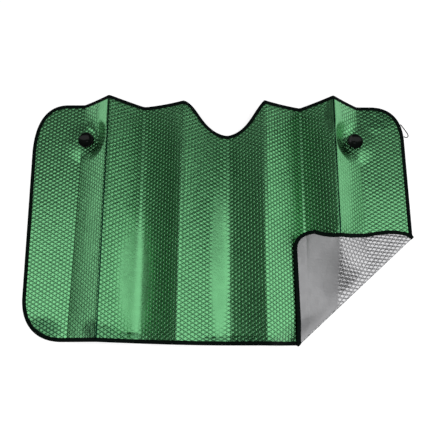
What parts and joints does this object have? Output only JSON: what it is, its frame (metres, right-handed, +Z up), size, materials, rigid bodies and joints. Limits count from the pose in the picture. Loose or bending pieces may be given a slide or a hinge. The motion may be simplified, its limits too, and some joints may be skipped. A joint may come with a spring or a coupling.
{
  "type": "windscreen sunshade",
  "caption": "Folding bubble-foil windscreen sunshade, pleated, one corner folded over, with bound edge, suction cups and an elastic loop.",
  "frame": {"origin": "on the surface that the sheet lies on, under the middle of its outline", "axes": "+X to the right across the pleats, +Y to the top edge with the mirror notch, +Z up, out of the green face"},
  "size_m": [1.1068, 0.7, 0.0803],
  "materials": {
    "green_foil": "crinkled metallised film, satin metallic green, over air bubbles",
    "silver_foil": "crinkled metallised film, bright silver, over air bubbles",
    "binding_tape": "black woven polyester tape, matt",
    "sewing_thread": "black polyester thread",
    "cup_plastic": "soft black PVC, glossy",
    "elastic_cord": "black braided elastic, matt"
  },
  "bodies": {
    "root": {"bubble_foil_sheet": "green_foil", "edge_binding": "binding_tape", "suction_cup_left": "cup_plastic", "suction_cup_right": "cup_plastic", "elastic_loop": "elastic_cord"}
  },
  "joints": []
}
